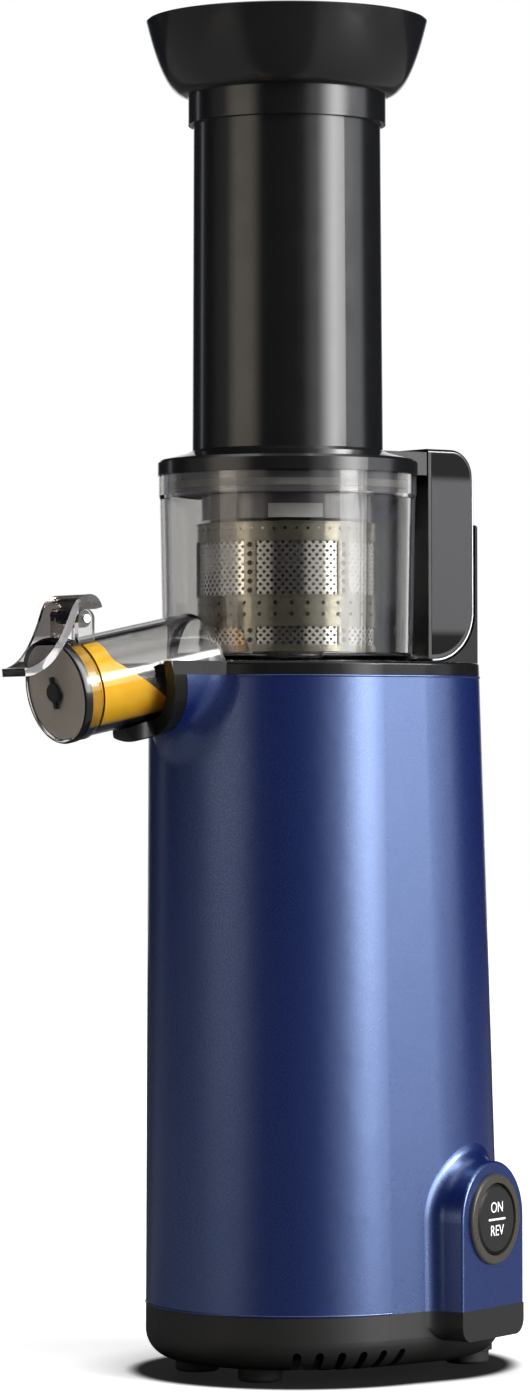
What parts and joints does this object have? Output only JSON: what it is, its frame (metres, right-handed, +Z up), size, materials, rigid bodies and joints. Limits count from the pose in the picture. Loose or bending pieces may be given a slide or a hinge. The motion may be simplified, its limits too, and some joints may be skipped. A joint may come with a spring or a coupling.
{
  "type": "cold press juicer",
  "caption": "Slim upright slow juicer: motor base, clear bowl with strainer and auger, tilted juice spout with hinged cap, tall feed tube and hopper.",
  "frame": {"origin": "on the table under the drive axis of auger and bowl", "axes": "+Z up along the drive axis, -Y towards the juice spout, +Y towards the handle"},
  "size_m": [0.1065, 0.1721, 0.3995],
  "materials": {
    "blue_paint": "metallic blue paint, satin gloss",
    "black_gloss": "moulded ABS, polished",
    "black_satin": "moulded ABS, satin",
    "rubber": "moulded rubber",
    "smoky_clear": "smoky clear plastic, polished",
    "silicone": "food grade silicone",
    "steel": "stainless steel",
    "screw_steel": "zinc plated steel",
    "auger_plastic": "glass-filled PEI, warm grey",
    "gear_plastic": "acetal, natural",
    "aluminium": "die cast",
    "motor_steel": "plated steel can",
    "magnet": "ferrite",
    "copper": "enamelled copper on laminations",
    "bronze": "sintered bronze",
    "grey_plastic": "moulded, satin",
    "board": "glass epoxy"
  },
  "bodies": {
    "root": {"body_shell": "blue_paint", "top_deck": "black_satin", "base_tray": "black_satin", "rubber_feet": "rubber", "base_screws": "screw_steel", "deck_screws": "screw_steel", "drive_seal": "rubber", "cord_gland": "rubber", "gearbox_housing": "grey_plastic", "gearbox_base": "aluminium", "gearbox_screws": "screw_steel", "output_bush": "bronze", "motor_can": "motor_steel", "motor_screws": "screw_steel", "motor_magnets": "magnet", "motor_bearings": "motor_steel", "motor_end_bell": "black_satin", "switch_bezel": "grey_plastic", "switch_body": "black_satin", "control_board": "board", "board_parts": "black_satin"},
    "carrier": {"planet_carrier": "aluminium", "planet_pins": "steel", "output_shaft": "steel"},
    "rotor": {"motor_shaft": "steel", "sun_gear": "steel", "armature": "copper", "cooling_fan": "black_satin"},
    "planet_1": {"planet_gear_1": "gear_plastic"},
    "planet_2": {"planet_gear_2": "gear_plastic"},
    "planet_3": {"planet_gear_3": "gear_plastic"},
    "rocker": {"switch_rocker": "black_satin"},
    "bowl": {"juice_bowl": "smoky_clear", "bowl_seal": "silicone", "bowl_handle": "black_satin", "handle_screws": "screw_steel", "strainer_frame": "steel", "strainer_mesh": "steel", "cap_hinge_pin": "steel"},
    "plug": {"pulp_plug": "silicone"},
    "auger": {"auger": "auger_plastic"},
    "cap": {"juice_cap": "smoky_clear", "cap_seal": "silicone"},
    "lid": {"lid": "black_gloss", "lid_seal": "silicone"},
    "hopper": {"feed_hopper": "black_gloss"}
  },
  "joints": [
    {"name": "carrier_spin", "type": "hinge", "parent": "root", "child": "carrier", "pos_m": [0, 0, 0.169], "axis": [0, 0, 1], "continuous": true},
    {"name": "rotor_spin", "type": "hinge", "parent": "root", "child": "rotor", "pos_m": [0, 0, 0.169], "axis": [0, 0, 1], "continuous": true},
    {"name": "planet_1_spin", "type": "hinge", "parent": "carrier", "child": "planet_1", "pos_m": [0.0189, 0, 0.169], "axis": [0, 0, 1], "continuous": true},
    {"name": "planet_2_spin", "type": "hinge", "parent": "carrier", "child": "planet_2", "pos_m": [-0.00945, 0.01637, 0.169], "axis": [0, 0, 1], "continuous": true},
    {"name": "planet_3_spin", "type": "hinge", "parent": "carrier", "child": "planet_3", "pos_m": [-0.00945, -0.01637, 0.169], "axis": [0, 0, 1], "continuous": true},
    {"name": "bowl_lift", "type": "slide", "parent": "root", "child": "bowl", "axis": [0, 0, 1], "range_m": [0, 0.06]},
    {"name": "auger_spin", "type": "hinge", "parent": "bowl", "child": "auger", "pos_m": [0, 0, 0.2153], "axis": [0, 0, 1], "continuous": true},
    {"name": "lid_lift", "type": "slide", "parent": "bowl", "child": "lid", "axis": [0, 0, 1], "range_m": [0, 0.05]},
    {"name": "hopper_lift", "type": "slide", "parent": "lid", "child": "hopper", "axis": [0, 0, 1], "range_m": [0, 0.03]},
    {"name": "cap_hinge", "type": "hinge", "parent": "bowl", "child": "cap", "pos_m": [0, -0.07707, 0.22099], "axis": [-1, 0, 0], "range_deg": [0, 85]},
    {"name": "plug_pull", "type": "slide", "parent": "bowl", "child": "plug", "axis": [-0.866, 0.5, 0], "range_m": [0, 0.03]},
    {"name": "rocker_tilt", "type": "hinge", "parent": "root", "child": "rocker", "pos_m": [0.04803, 0.03793, 0.0458], "axis": [-0.3256, 0.9455, 0], "range_deg": [-6, 6]}
  ],
  "couplings": [
    {"joint": "rotor_spin", "follows": "carrier_spin", "ratio": 4.5},
    {"joint": "planet_1_spin", "follows": "carrier_spin", "ratio": -2.8},
    {"joint": "planet_2_spin", "follows": "carrier_spin", "ratio": -2.8},
    {"joint": "planet_3_spin", "follows": "carrier_spin", "ratio": -2.8},
    {"joint": "auger_spin", "follows": "carrier_spin", "ratio": 1}
  ]
}
